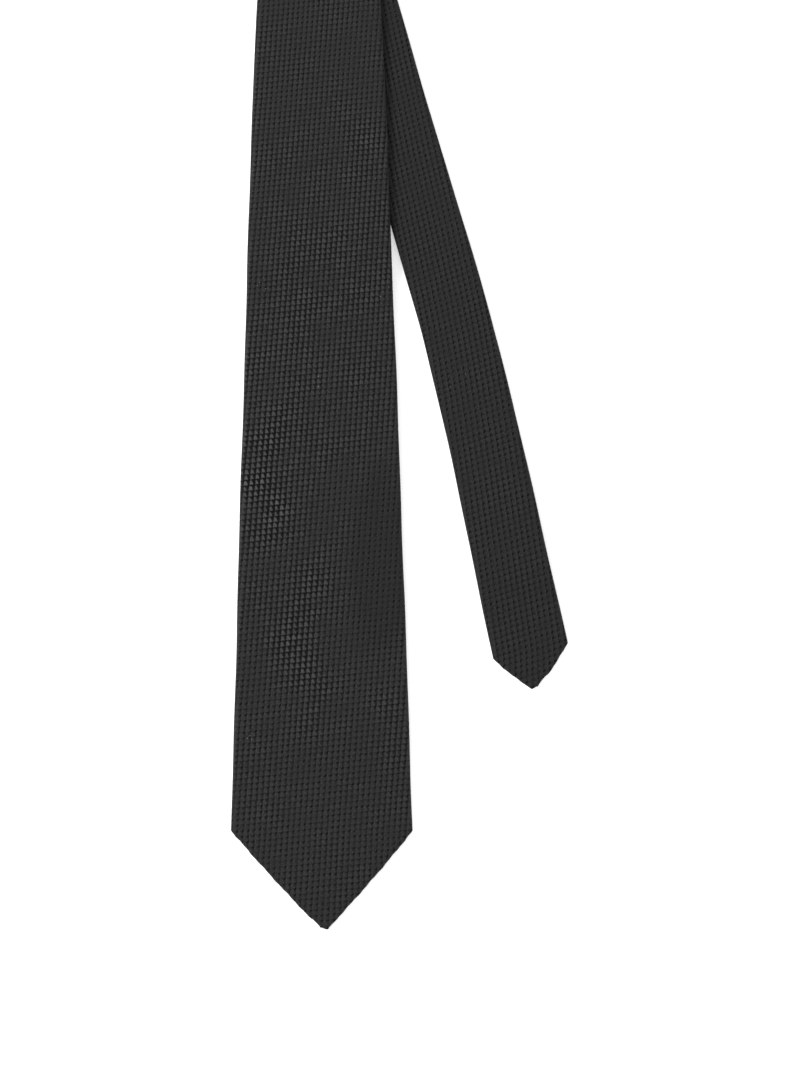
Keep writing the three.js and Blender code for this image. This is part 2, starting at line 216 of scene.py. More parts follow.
def plain_half_width(s):
    tail_s = LENGTH - s
    if s < BLADE_POINT:
        return point_half_width(s, BLADE_NIB, *BLADE_TAPER[0])
    if tail_s < TAIL_POINT:
        return point_half_width(tail_s, TAIL_NIB, *TAIL_TAPER[0])
    return through(BLADE_TAPER, s) if s < LENGTH / 2 else through(TAIL_TAPER, tail_s)


def plain_lift(s):
    for (s0, z0), (s1, z1) in zip(LIFT, LIFT[1:]):
        if s <= s1:
            return z0 + (z1 - z0) * smooth(s, s0, s1)
    return LIFT[-1][1]


# The strip's run, tabled once so that whole meshes can be laid along it.
TABLE_STEP = 0.5
TABLE_S = np.arange(-2, LENGTH + 2, TABLE_STEP)
_runs = np.array([run_along(max(s, 0)) for s in TABLE_S])
TABLE = {
    "x": _runs[:, 0],
    "y": _runs[:, 1],
    "heading": _runs[:, 2],
    "half": np.array([plain_half_width(min(max(s, 0), LENGTH)) for s in TABLE_S]),
    "lift": np.array([plain_lift(s) for s in TABLE_S]),
    "sway": np.interp(TABLE_S, *zip(*SWAY)),
    "roll": math.pi / 2 * (smooth(TABLE_S, BLADE_HINGE + 2, BLADE_HINGE + 2 + ROLL_LENGTH)
                           - smooth(TABLE_S, TAIL_HINGE - 2 - ROLL_LENGTH, TAIL_HINGE - 2)),
}


def table(name, s):
    return np.interp(s, TABLE_S, TABLE[name])


def half_width(s):
    return table("half", s)


def lay(s, u, n):
    """Strip coordinates in millimetres, of any one shape, to points of the frame in metres."""
    s, u, n = np.broadcast_arrays(np.asarray(s, float), u, n)
    u = u + table("sway", s)
    heading, roll = table("heading", s), table("roll", s)
    right_x, right_y = np.sin(heading), -np.cos(heading)
    cos, sin = np.cos(roll), np.sin(roll)
    up = n - THICK / 2
    middle = table("lift", s) + half_width(s) * sin + THICK / 2 * cos
    x = table("x", s) + right_x * (u * cos + up * sin)
    y = table("y", s) + right_y * (u * cos + up * sin)
    z = middle - u * sin + up * cos
    return np.stack([x, y, z], axis=-1) * MM


def swell(s, u):
    """Gentle unevenness of the pressed cloth's front, in millimetres."""
    broad = 0.13 * np.sin(s / 23 + 0.6 * np.sin(s / 61) + u / 31)
    crossing = 0.1 * np.sin(s / 37 - u / 17 + 1.3)
    fine = 0.05 * np.sin(s / 7.3 + u / 9.1) * np.sin(u / 6.1 - s / 19 + 0.4)
    return broad + crossing + fine


# ---- settings -------------------------------------------------------------------------

def length_property(name, description, default):
    return bpy.props.FloatProperty(name=name, description=description, default=default,
                                   min=0, unit="LENGTH", subtype="DISTANCE")


def colour_property(name, description, default):
    return bpy.props.FloatVectorProperty(name=name, description=description, default=default,
                                         size=4, min=0, max=1, subtype="COLOR")


class NECKTIE_PG_cloth(bpy.types.PropertyGroup):
    """Sizes and colours of the cloth."""

    cloth_thickness: length_property(
        "Cloth thickness", "Thickness of one layer of the outer cloth", 0.46 * MM)
    edge_roll: length_property(
        "Edge roll", "How far the soft roll of a folded edge reaches in from the side", 2.1 * MM)
    cloth_colour: colour_property(
        "Cloth colour", "Mean colour of the woven outer cloth", (0.0163, 0.0163, 0.0165, 1))
    # Painted highlight: a lighter colour mixed into the rolled edges, as where they catch the
    # light.
    edge_highlight_colour: colour_property(
        "Fold colour", "Colour of the cloth along its pressed edges", (0.036, 0.034, 0.036, 1))
    lint_colour: colour_property(
        "Lint colour", "Colour of the stray specks of lint", (0.2, 0.2, 0.2, 1))
    lining_colour: colour_property(
        "Tipping colour", "Colour of the satin that tips the back of each point",
        (0.012, 0.012, 0.014, 1))
    wool_colour: colour_property(
        "Interlining colour", "Colour of the woollen interlining", (0.62, 0.57, 0.48, 1))
    label_colour: colour_property(
        "Label colour", "Colour of the blank woven label and care tag", (0.03, 0.032, 0.037, 1))


class NECKTIE_PG_thread(bpy.types.PropertyGroup):
    """Sizes and colour of the sewing thread."""

    radius: length_property("Thread radius", "Half the thickness of the thread", 0.14 * MM)
    slip_pitch: length_property("Slip stitch pitch", "Distance between slip stitches", 7 * MM)
    slip_length: length_property("Slip stitch length", "Length of one slip stitch", 3.2 * MM)
    hem_pitch: length_property("Hem stitch pitch", "Distance between hem stitches", 3.2 * MM)
    hem_length: length_property("Hem stitch length", "Length of one hem stitch", 1.7 * MM)
    colour: colour_property("Thread colour", "Colour of the sewing thread", (0.02, 0.02, 0.022, 1))


class NECKTIE_PG_stage(bpy.types.PropertyGroup):
    """The floor, the light and the camera."""

    view_height: length_property(
        "View height", "Height of the picture at the table", 470.1 * MM)
    view_x: bpy.props.FloatProperty(
        name="View centre across", description="Middle of the picture, right of the blade's tip",
        default=34.4 * MM, unit="LENGTH")
    view_y: bpy.props.FloatProperty(
        name="View centre up", description="Middle of the picture, above the blade's tip",
        default=174.6 * MM, unit="LENGTH")
    camera_height: length_property("Camera height", "Height of the camera over the table", 2.6)
    floor_size: length_property("Floor size", "Side of the square floor", 30.0)
    floor_glow: bpy.props.FloatProperty(
        name="Floor glow", description="Light the floor gives off itself, as a light table does",
        default=0.42, min=0)
    world_strength: bpy.props.FloatProperty(
        name="Sky strength", description="Strength of the even white light", default=0.95, min=0)
    key_power: bpy.props.FloatProperty(
        name="Key light power", description="Power of the soft key light", default=25, min=0,
        unit="POWER")


# ---- meshes -----------------------------------------------------------------------------

def cloth_settings():
    return bpy.context.scene.necktie_cloth


def thread_settings():
    return bpy.context.scene.necktie_thread


def link_mesh(name, vertices, faces, material, places=None, flat=False):
    """A new piece from points and faces, with a pattern place for each point if given."""
    mesh = bpy.data.meshes.new(name)
    mesh.from_pydata([tuple(v) for v in vertices], [], faces)
    if places is not None:
        layer = mesh.uv_layers.new(name="Cloth")
        index = np.empty(len(mesh.loops), np.int32)
        mesh.loops.foreach_get("vertex_index", index)
        layer.data.foreach_set("uv", places[index].astype(np.float32).ravel())
    mesh.materials.append(material)
    if not flat:
        mesh.shade_smooth()
    mesh.validate()
    piece = bpy.data.objects.new(name, mesh)
    bpy.context.scene.collection.objects.link(piece)
    return piece


def signed_volume(points, quads):
    a, b, c, d = (points[quads[:, i]] for i in range(4))
    return float((a * np.cross(b, c)).sum() + (a * np.cross(c, d)).sum()) / 6


def thick_sheet(name, middle, thickness, pattern, material, extra=None):
    """A closed layer of cloth about a grid of points, K rows by M columns, in metres.

    pattern holds each point's place in the cloth's own pattern, and extra may hold a named
    value at each point, for the material."""
    rows, columns = middle.shape[:2]
    along = np.gradient(middle, axis=0)
    across = np.gradient(middle, axis=1)
    normal = np.cross(across, along)
    normal /= np.maximum(np.linalg.norm(normal, axis=2, keepdims=True), 1e-12)
    half = normal * (thickness / 2)
    points = np.concatenate([(middle + half).reshape(-1, 3), (middle - half).reshape(-1, 3)])
    points[:, 2] = np.maximum(points[:, 2], 0)
    size = rows * columns
    index = np.arange(size).reshape(rows, columns)
    corner = index[:-1, :-1].ravel()
    top = np.stack([corner, corner + 1, corner + columns + 1, corner + columns], axis=1)
    ring = np.concatenate([index[0], index[1:, -1], index[-1, -2::-1], index[-2:0:-1, 0]])
    following = np.roll(ring, -1)
    rim = np.stack([following, ring, ring + size, following + size], axis=1)
    faces = np.concatenate([top, top[:, ::-1] + size, rim])
    if signed_volume(points, faces) < 0:
        faces = faces[:, ::-1]
    uv = np.concatenate([pattern.reshape(-1, 2)] * 2)
    piece = link_mesh(name, points, faces.tolist(), material, uv)
    for title, values in (extra or {}).items():
        layer = piece.data.attributes.new(title, "FLOAT", "POINT")
        layer.data.foreach_set("value", np.tile(values.ravel(), 2).astype(np.float32))
    return piece


# ---- the folded outer cloth -----------------------------------------------------------

def from_own_tip(s):
    """Length from the nearer tip, with its hem, where its back closes and its point's length."""
    if s < LENGTH / 2:
        return s, BLADE_HEM, BLADE_CLOSE, BLADE_POINT
    return LENGTH - s, TAIL_HEM, TAIL_CLOSE, TAIL_POINT


def flap_edges(s):
    """Where across the strip the right and the left back flap end."""
    tip, hem, close, point = from_own_tip(s)
    if tip < point:
        open_by = half_width(s) - hem
    else:
        shoulder = half_width(point if s < LENGTH / 2 else LENGTH - point) - hem
        open_by = shoulder * (close - tip) / (close - point)
    gap = max(open_by, MEETING_GAP)
    lapped = smooth(tip, close, close + LAP_GROWS_IN)
    return gap - (gap + RIGHT_LAP) * lapped, -gap + (gap + LEFT_LAP) * lapped


def point_thinness(s):
    """The share of its full thickness that the fold has here."""
    return TIP_THINNESS + (1 - TIP_THINNESS) * smooth(from_own_tip(s)[0], 0, THIN_REACH)


def tucked_rise(s, u):
    """Rise of the left flap, so that it passes under the right one."""
    tip, _, close, _ = from_own_tip(s)
    right, _ = flap_edges(s)
    near = smooth(tip, close - 22, close - 4)
    return TUCKED * near * smooth(u, right - 8, right - 1.2)


FRONT_POINTS = 31
EDGE_POINTS = 9
FLAP_POINTS = 15
CURL_POINTS = 5
TURN_POINTS = 4


def half_fold(w, edge, roll, cloth, top):
    """One side of the fold from its soft edge to the end of its turned-under flap."""
    low, side, curl = cloth / 2, roll - cloth / 2, TURN_UNDER / 2
    middle, rise = (top + low) / 2, (top - low) / 2
    inner = edge + curl
    arc = [(w - roll + side * math.cos(a) ** 0.8, middle + rise * math.sin(a))
           for a in np.radians(np.linspace(90, -90, EDGE_POINTS + 2)[1:-1])]
    flap = [(u, low) for u in np.linspace(w - roll, inner, FLAP_POINTS)]
    bend = [(inner - curl * math.sin(a), low + curl - curl * math.cos(a))
            for a in np.radians(np.linspace(0, 180, CURL_POINTS + 2)[1:])]
    reach = max(0.3, min(5.0, 0.5 * (w - roll - inner)))
    under = [(inner + u, low + 2 * curl) for u in np.linspace(0, reach, TURN_POINTS + 1)[1:]]
    return arc + flap + bend + under


def fold_section(s, cloth, roll):
    """The cloth's middle line in cross section, from the left flap round to the right."""
    w = half_width(s)
    roll = min(roll, 0.55 * w)
    top = THICK - cloth / 2
    right_edge, left_edge = flap_edges(s)
    right = half_fold(w, right_edge, roll, cloth, top)
    left = [(-u, n) for u, n in half_fold(w, -left_edge, roll, cloth, top)]
    # The left flap passes under the right one, so it lies deeper in the fold there.
    for i in range(EDGE_POINTS, len(left)):
        u, n = left[i]
        left[i] = (u, n + tucked_rise(s, u))
    front = [(u, top) for u in np.linspace(-(w - roll), w - roll, FRONT_POINTS)]
    path = np.array(left[::-1] + front + right)
    path[:, 1] *= point_thinness(s)
    return path


def cloth_place(path):
    """Distance along a section's line from the middle of the front."""
    steps = np.linalg.norm(np.diff(path, axis=0), axis=1)
    along = np.concatenate([[0], np.cumsum(steps)])
    return along - along[len(along) // 2]


ROW_STEP = 2.2                     # between the mesh's rows,
POINT_STEP = 0.85                  # and between those in a point
ROW_PITCH = 2.55                   # the weave's repeat along the blade,
COLUMN_PITCH = 2.42                # and across it
ROW_SLANT = 0.105                  # both sets of threads lie a little askew
COLUMN_SLANT = 0.08


def closeness(s):
    """The weave draws closer towards the neck, where the bias cloth was stretched."""
    legs = np.minimum(s, LENGTH - s + 60)
    return 1 - 0.12 * smooth(legs, 80, 420)


CLOSENESS = closeness(TABLE_S)
WEAVE_ALONG = np.cumsum(TABLE_STEP / (ROW_PITCH * CLOSENESS))


def weave_place(c, s, shift=(0, 0)):
    """Column and row of the weave at cloth place c across and s along."""
    column = c / (COLUMN_PITCH * np.interp(s, TABLE_S, CLOSENESS))
    beyond = (s - np.clip(s, TABLE_S[0], TABLE_S[-1])) / ROW_PITCH
    row = np.interp(s, TABLE_S, WEAVE_ALONG) + beyond
    return np.stack([column - COLUMN_SLANT * row + shift[0],
                     row - ROW_SLANT * column + shift[1]], axis=-1)


# Painted sheen: soft places where the weave is painted to stand out, as cloth turned to the
# light, or painted duller, as cloth turned from it: place along and across, reach along and
# across, and how much.
SHEEN_SPOTS = [(264, 0, 75, 60, 0.29), (196, -26, 27, 12, 0.9), (134, -11, 28, 13, 0.65),
               (104, -5, 16, 9, 0.35), (172, 26, 45, 13, -0.3), (330, 20, 22, 8, 0.3),
               (92, 28, 22, 9, 0.25)]


def sheen(s, u):
    """How much the painted sheen makes the weave stand out at a place on the cloth."""
    value = 0.14 + 0.07 * (1 - smooth(s, CROSSING + 50, LENGTH - 240))
    for along, across, reach_along, reach_across, strength in SHEEN_SPOTS:
        away = ((s - along) / reach_along) ** 2 + ((u - across) / reach_across) ** 2
        value = value + strength * np.exp(-away)
    return np.clip(value, 0.05, 1.3)


def unfold(path, c, s):
    """Where the points of a section lay on the flat cloth, across and along.

    Beyond an edge the cloth is folded back, so its pattern is mirrored in that edge."""
    w = half_width(s)
    lean = math.atan((half_width(s + 0.2) - half_width(s - 0.2)) / 0.4)
    edge = abs(c[np.argmax(path[:, 0])])
    beyond = np.maximum(np.abs(c) - edge, 0)
    across = np.sign(c) * (np.minimum(np.abs(c), edge) * w / edge + beyond * math.cos(2 * lean))
    return across, -beyond * math.sin(2 * lean)


def edge_wobble(s, side):
    """Small unevenness of a pressed edge; hand-turned points waver more."""
    tip, _, _, point = from_own_tip(s)
    turned = 1 - smooth(tip, point - 2, point + 6)
    phase = 1.7 * side
    long = 0.1 * math.sin(s / 19 + phase) + 0.08 * math.sin(s / 8.3 + 2 * phase)
    short = 0.12 * math.sin(s / 0.62 + phase) + 0.15 * math.sin(s / 1.7 - phase)
    short *= turned * smooth(tip, 1, 4) * smooth(point - tip, 0, 2.5)
    standing = 0.18 * math.sin(table("roll", s))
    return long + short - standing


def rows_between(start, end, step):
    """Row places from start to end: closer at both ends, closest at the points."""
    rows = set(np.linspace(start, end, max(3, int((end - start) / step))))
    for near in (0.3, 0.8, 1.5):
        rows |= {start + near, end - near}
    for low, high, corner in ((0, BLADE_POINT, BLADE_POINT),
                              (LENGTH - TAIL_POINT, LENGTH, LENGTH - TAIL_POINT)):
        rows |= set(np.arange(low, high, min(step, POINT_STEP)))
        rows |= {corner - 0.3, corner, corner + 0.3}
    return np.array(sorted(round(s, 3) for s in rows if start <= s <= end))


def outer_cloth(name, start, end, skew_start, skew_end, shift):
    """One length of the folded outer cloth, with a bias seam or a point at each end."""
    settings = cloth_settings()
    cloth, roll = settings.cloth_thickness / MM, settings.edge_roll / MM
    points, pattern, fold, shine = [], [], [], []
    for s in rows_between(start, end, ROW_STEP):
        path = fold_section(s, cloth, roll)
        c, w = cloth_place(path), half_width(s)
        tip, _, _, point = from_own_tip(s)
        skew = (skew_start * (1 - smooth(s, start, start + SKEW_REACH))
                + skew_end * smooth(s, end - SKEW_REACH, end))
        at = s + skew * np.clip(c, -w, w)
        if tip < NIB_LENGTH:
            # The nib is turned a little askew.
            away = NIB_SKEW * (1 - tip / NIB_LENGTH) * np.clip(w / 2 - path[:, 0], 0, w)
            at = at + (away if s < LENGTH / 2 else -away)
        u, n = path[:, 0].copy(), path[:, 1].copy()
        reach = np.clip(np.abs(u) / w, 0, 1) ** 6
        u += np.where(u > 0, edge_wobble(s, 1), -edge_wobble(s, -1)) * reach
        n += np.where(n > THICK * 0.6, swell(at, u) * (1 - reach), 0)
        # A seam is a shallow groove, where the cloth turns in to be sewn.
        from_seam = min(s - start if skew_start else math.inf,
                        end - s if skew_end else math.inf)
        groove = GROOVE_DEPTH * (1 - smooth(from_seam, 0, GROOVE_REACH))
        middle = THICK / 2
        n = middle + (n - middle) * (1 - groove / middle)
        u = u * (1 - groove / w)
        points.append(lay(at, u, n))
        across, along = unfold(path, c, s)
        pattern.append(weave_place(across, at + along, shift))
        # Masks for painted light: the edge highlight along the rolled edges, but not in the
        # points, and the painted sheen.
        fold.append(reach * smooth(tip, point - 1, point + 3))
        shine.append(sheen(at, u))
    return thick_sheet(name, np.array(points), cloth * MM, np.array(pattern),
                       tie_cloth_material(),
                       {"fold": np.array(fold), "sheen": np.array(shine)})


# ---- how a piece is placed: baked where it lies, or riding one body ---------------------

def on_frame(s, u=0.0, n=THICK / 2):
    return tuple(float(v) for v in lay(s, u, n))


def bend_with_blade(piece):
    """The piece crosses the hinge where the blade lifts off the neck band; it is only baked where
    it lies, not made to bend.
    """
    start, end = BLADE_FLEX
    on_frame(start)
    on_frame(end)
    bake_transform(piece)


def bend_with_tail(piece):
    """The piece crosses the hinge where the tail swings out from the neck band; it is only baked
    where it lies, not made to bend.
    """
    start, end = TAIL_FLEX
    on_frame(start)
    on_frame(end)
    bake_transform(piece)


def ride_with(body):
    """How a piece moves that lies on one body alone."""
    return lambda piece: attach(piece, body)


MOVES = {"blade": bend_with_blade, "neck": ride_with("neck"), "tail": bend_with_tail}


# ---- shader groups and materials -----------------------------------------------------------

class Wiring:
    """Short names for making and joining the nodes of one tree."""

    def __init__(self, tree):
        self.tree = tree

    def put(self, socket, value):
        if isinstance(value, bpy.types.NodeSocket):
            self.tree.links.new(value, socket)
        else:
            socket.default_value = value

    def fill(self, node, given):
        """Puts values or links into a node's inputs, in order or by name."""
        for key, value in given.items() if isinstance(given, dict) else enumerate(given):
            self.put(node.inputs[key], value)
        return node

    def node(self, kind, given=(), **settings):
        node = self.tree.nodes.new(kind)
        for name, value in settings.items():
            setattr(node, name, value)
        return self.fill(node, given)

    def math(self, operation, *given):
        return self.node("ShaderNodeMath", given, operation=operation).outputs[0]

    def plus(self, a, b):
        return self.math("ADD", a, b)

    def minus(self, a, b):
        return self.math("SUBTRACT", a, b)

    def times(self, a, b):
        return self.math("MULTIPLY", a, b)

    def times_plus(self, a, b, c):
        return self.math("MULTIPLY_ADD", a, b, c)

    def vector(self, operation, *given, output="Vector"):
        return self.node("ShaderNodeVectorMath", given, operation=operation).outputs[output]

    def ramp(self, *given):
        """An S between two bounds: the value, the bounds, and what 0 and 1 are brought to."""
        return self.node("ShaderNodeMapRange", given, interpolation_type="SMOOTHSTEP").outputs[0]

    def noise(self, vector, scale, detail=2.0, roughness=0.5, output="Fac"):
        given = {"Vector": vector, "Scale": scale, "Detail": detail, "Roughness": roughness}
        return self.node("ShaderNodeTexNoise", given).outputs[output]

    def combine(self, *given):
        return self.node("ShaderNodeCombineXYZ", given).outputs[0]

    def separate(self, vector, kind="XYZ"):
        return self.node("ShaderNodeSeparate" + kind, [vector]).outputs

    def attribute(self, name):
        return self.node("ShaderNodeAttribute", attribute_name=name).outputs["Fac"]

    def mix_colour(self, share, first, second, blend="MIX"):
        given = {"Factor": share, 6: first, 7: second}
        return self.node("ShaderNodeMix", given, data_type="RGBA", blend_type=blend).outputs[2]


def new_group(name, kind, takes, gives):
    """An empty node group, from its sockets as (name, type) or (name, type, default)."""
    group = bpy.data.node_groups.new(name, kind)
    for way, sockets in (("INPUT", takes), ("OUTPUT", gives)):
        for title, holds, *default in sockets:
            socket = group.interface.new_socket(title, in_out=way,
                                                socket_type="NodeSocket" + holds)
            if default:
                socket.default_value = default[0]
    w = Wiring(group)
    return group, w, w.node("NodeGroupInput").outputs, w.node("NodeGroupOutput")


def weave_group():
    """Natte weave: rows of domed blocks, with a small pit at each corner between them."""
    if "natte_weave" in bpy.data.node_groups:
        return bpy.data.node_groups["natte_weave"]
    group, w, given, out = new_group(
        "natte_weave", "ShaderNodeTree",
        [("Weave", "Vector"), ("Contrast", "Float", 0.3), ("Irregularity", "Float", 0.2)],
        [("Shade", "Float"), ("Height", "Float"), ("Block", "Float")])
    contrast = given["Contrast"]
    drift = w.separate(w.noise(given["Weave"], 0.45, 3.0, output="Color"), "Color")
    column, row = (w.times_plus(w.minus(moved, 0.5), given["Irregularity"], place)
                   for moved, place in zip(drift[:2], w.separate(given["Weave"])[:2]))

    def chance(x, y):
        return w.node("ShaderNodeTexWhiteNoise", {"Vector": w.combine(x, y)},
                      noise_dimensions="2D").outputs["Value"]

    def oval(x, y, width, height):
        across, along = (w.math("POWER", w.math("DIVIDE", a, size), 2.0)
                         for a, size in ((x, width), (y, height)))
        return w.math("SQRT", w.plus(across, along))

    # A block is a leaning dome that narrows towards its apex.
    cell_x, cell_y = w.math("ROUND", column), w.math("ROUND", row)
    from_x, from_y = w.minus(column, cell_x), w.minus(row, cell_y)
    luck = chance(cell_x, cell_y)
    dome = w.math("POWER", w.minus(0.54, from_y), 0.45)
    half = w.times(dome, w.times_plus(luck, 0.1, 0.36))
    leaning = w.math("ABSOLUTE", w.times_plus(from_y, 0.2, from_x))
    cover = w.ramp(w.minus(leaning, half), 0.09, -0.14)
    ends = w.times(w.ramp(from_y, -0.52, -0.24), w.ramp(from_y, 0.54, 0.28))
    block = w.times(cover, ends)

    # A pit slants, and the thread beside it catches a little light.
    pit_row = w.plus(row, 0.06)
    pit_x, pit_y = (w.minus(w.math("FRACT", place), 0.5) for place in (column, pit_row))
    depth = chance(w.math("FLOOR", column), w.math("FLOOR", pit_row))
    slant_x = w.times_plus(pit_y, -0.3, pit_x)
    pit = w.times(w.ramp(oval(slant_x, pit_y, 0.19, 0.22), 1.3, 0.5),
                  w.times_plus(depth, 0.8, 0.4))
    crest = w.times(w.ramp(oval(w.minus(slant_x, 0.29), pit_y, 0.12, 0.3), 1.3, 0.4), depth)

    fibres = w.combine(w.times(column, 6.0), w.times(row, 2.8))
    grain = w.minus(w.noise(fibres, 1.0, 3.0, 0.65), 0.5)
    strands = w.math("COSINE", w.times(w.plus(column, row), 2 * math.tau))
    strands = w.times(w.times(strands, block), contrast)

    # Painted light: the blocks are painted lighter, as floats that catch the light, the ground
    # between them darker, and each pit darker still, as painted shade in its hollow; Contrast,
    # from the painted sheen, sets how strongly.
    lit_blocks = w.minus(w.times(block, w.times_plus(luck, 0.8, 1.95)), 0.8)
    shade = w.times_plus(lit_blocks, contrast, 1.0)
    shade = w.times_plus(crest, 0.7, shade)
    shade = w.minus(shade, w.times(pit, w.times_plus(contrast, 0.3, 0.8)))
    shade = w.times_plus(grain, w.times_plus(contrast, 2.6, 2.7), shade)
    shade = w.times_plus(strands, 0.4, shade)
    height = w.times_plus(pit, -0.8, w.times(block, contrast))
    w.fill(out, {"Shade": w.math("MAXIMUM", shade, 0.12),
                 "Height": w.times_plus(grain, 0.3, height), "Block": block})
    return group


def fibre_group():
    """Fine fibre grain for thread, lining, wool and labels."""
    if "fibre_grain" in bpy.data.node_groups:
        return bpy.data.node_groups["fibre_grain"]
    group, w, given, out = new_group(
        "fibre_grain", "ShaderNodeTree",
        [("Place", "Vector"), ("Scale", "Float", 900.0), ("Stretch", "Vector", (1.0, 1.0, 1.0)),
         ("Colour", "Color", (0.5, 0.5, 0.5, 1)), ("Variation", "Float", 0.35)],
        [("Colour", "Color"), ("Height", "Float")])
    stretched = w.vector("MULTIPLY", given["Place"], given["Stretch"])
    fine = w.noise(stretched, given["Scale"], 4.0)
    broad = w.noise(given["Place"], 55.0)
    both = w.times_plus(w.minus(broad, 0.5), 0.8, fine)
    shade = w.times_plus(w.minus(both, 0.5), given["Variation"], 1.0)
    grey = w.combine(shade, shade, shade)
    w.fill(out, {"Colour": w.vector("MULTIPLY", given["Colour"], grey), "Height": fine})
    return group


def new_material(name):
    material = bpy.data.materials.new(name)
    material.use_nodes = True
    shader = material.node_tree.nodes["Principled BSDF"]
    return material, Wiring(material.node_tree), shader


def add_bump(w, shader, height, strength, distance):
    bump = w.node("ShaderNodeBump",
                  {"Strength": strength, "Distance": distance, "Height": height})
    w.put(shader.inputs["Normal"], bump.outputs[0])


def tie_cloth_material():
    """Charcoal natte, with painted highlights along its rolled edges, a painted sheen and a few
    specks of lint.
    """
    if "charcoal_natte" in bpy.data.materials:
        return bpy.data.materials["charcoal_natte"]
    settings = cloth_settings()
    material, w, shader = new_material("charcoal_natte")
    place = w.node("ShaderNodeUVMap", uv_map="Cloth").outputs[0]
    lit, fold = w.attribute("sheen"), w.attribute("fold")
    # The painted sheen comes and goes in soft patches.
    patch = w.noise(place, 0.11, 3.0, 0.6)
    contrast = w.times(lit, w.ramp(patch, 0.3, 0.7, 0.4, 1.7))
    weave = w.node("ShaderNodeGroup", {"Weave": place, "Contrast": contrast},
                   node_tree=weave_group()).outputs
    # Painted shade: where the painted sheen is low, as on the tail, the cloth is painted duller as
    # well as smoother, as cloth turned from the light.
    shade = w.times(weave["Shade"], w.ramp(lit, 0.1, 0.21, 0.87, 1.0))
    woven = w.mix_colour(1.0, tuple(settings.cloth_colour), w.combine(shade, shade, shade),
                         "MULTIPLY")
    # Painted highlight: the rolled edges are mixed towards a lighter colour, as edges that catch
    # the light.
    pressed = w.mix_colour(w.ramp(fold, 0.72, 1.0, 0.0, 0.35), woven, tuple(settings.edge_highlight_colour))
    # Lint gathers in patches, as specks of unequal size.
    lint = w.node("ShaderNodeTexVoronoi", {"Vector": place, "Scale": 0.9}, feature="F1")
    gathered = w.ramp(w.noise(place, 0.07, 1.0), 0.62, 0.72, 0.0, 0.09)
    speck = w.math("LESS_THAN", lint.outputs["Distance"], gathered)
    final = w.mix_colour(w.times(speck, 0.6), pressed, tuple(settings.lint_colour))
    w.fill(shader, {"Base Color": final, "Roughness": w.ramp(weave["Block"], 0, 1, 0.72, 0.52),
                    "Specular IOR Level": 0.07})
    add_bump(w, shader, weave["Height"], 0.7, 0.45 * MM)
    return material


def grained_material(name, colour, roughness, scale, stretch, variation, bump, sheen=0.0,
                     specular=0.3):
    """A fabric material of one colour with a fibre grain in object space."""
    if name in bpy.data.materials:
        return bpy.data.materials[name]
    material, w, shader = new_material(name)
    place = w.node("ShaderNodeTexCoord").outputs["Object"]
    grain = w.node("ShaderNodeGroup",
                   {"Place": place, "Scale": scale, "Stretch": stretch, "Colour": colour,
                    "Variation": variation}, node_tree=fibre_group()).outputs
    rough = w.ramp(grain["Height"], 0.3, 0.7, roughness - 0.08, roughness + 0.08)
    w.fill(shader, {"Base Color": grain["Colour"], "Roughness": rough,
                    "Specular IOR Level": specular, "Sheen Weight": sheen})
    add_bump(w, shader, grain["Height"], bump, 0.12 * MM)
    return material


def lining_material():
    return grained_material("tipping_satin", tuple(cloth_settings().lining_colour), 0.34, 1500,
                            (0.25, 2.0, 1.0), 0.5, 0.35, specular=0.5)


def wool_material():
    return grained_material("interlining_wool", tuple(cloth_settings().wool_colour), 0.9, 700,
                            (1.0, 1.0, 1.0), 0.5, 0.9, sheen=0.3)


def thread_material():
    return grained_material("sewing_thread", tuple(thread_settings().colour), 0.55, 4000,
                            (1.0, 1.0, 1.0), 0.5, 0.5)


def label_material():
    """Plain damask label cloth with a woven border, and no lettering."""
    if "label_damask" in bpy.data.materials:
        return bpy.data.materials["label_damask"]
    material, w, shader = new_material("label_damask")
    across, along = w.separate(w.node("ShaderNodeUVMap", uv_map="Cloth").outputs[0])[:2]

    def from_edge(value):
        return w.minus(0.5, w.math("ABSOLUTE", w.minus(value, 0.5)))

    inset = w.math("MINIMUM", w.times(from_edge(across), 1.8), from_edge(along))
    border = w.times(w.math("GREATER_THAN", inset, 0.13), w.math("LESS_THAN", inset, 0.17))
    ribs = w.math("SINE", w.times(along, 420.0))
    base = tuple(cloth_settings().label_colour)
    body = w.mix_colour(w.times_plus(ribs, 0.15, 0.15), base, (0.075, 0.08, 0.09, 1))
    w.fill(shader, {"Base Color": w.mix_colour(border, body, (0.3, 0.31, 0.33, 1)),
                    "Roughness": w.ramp(ribs, -1, 1, 0.38, 0.55)})
    add_bump(w, shader, ribs, 0.3, 0.05 * MM)
    return material


# ---- flat layers inside the fold ---------------------------------------------------------

def inner_half_width(s):
    tip, _, _, point = from_own_tip(s)
    in_point = 1 - smooth(tip, point - 4, point + 8)
    return half_width(s) - INNER_INSET - POINT_INSET * in_point


def inner_layer(name, start, end, level, thickness, material, columns=13, step=4.0):
    """A flat layer between the front and the flaps."""
    share = np.linspace(-1, 1, columns)
    points, pattern = [], []
    for s in rows_between(start, end, step):
        u = share * inner_half_width(s)
        points.append(lay(s, u, level(s, u) * point_thinness(s)))
        pattern.append(np.stack([u * MM, np.full(columns, s * MM)], axis=-1))
    return thick_sheet(name, np.array(points), thickness * MM, np.array(pattern), material)


def core_level(s, u):
    return CORE_LEVEL + 0.6 * swell(s, u)


def tipping_level(s, u):
    return TIPPING_LEVEL + tucked_rise(s, u)


# ---- stitches ------------------------------------------------------------------------------

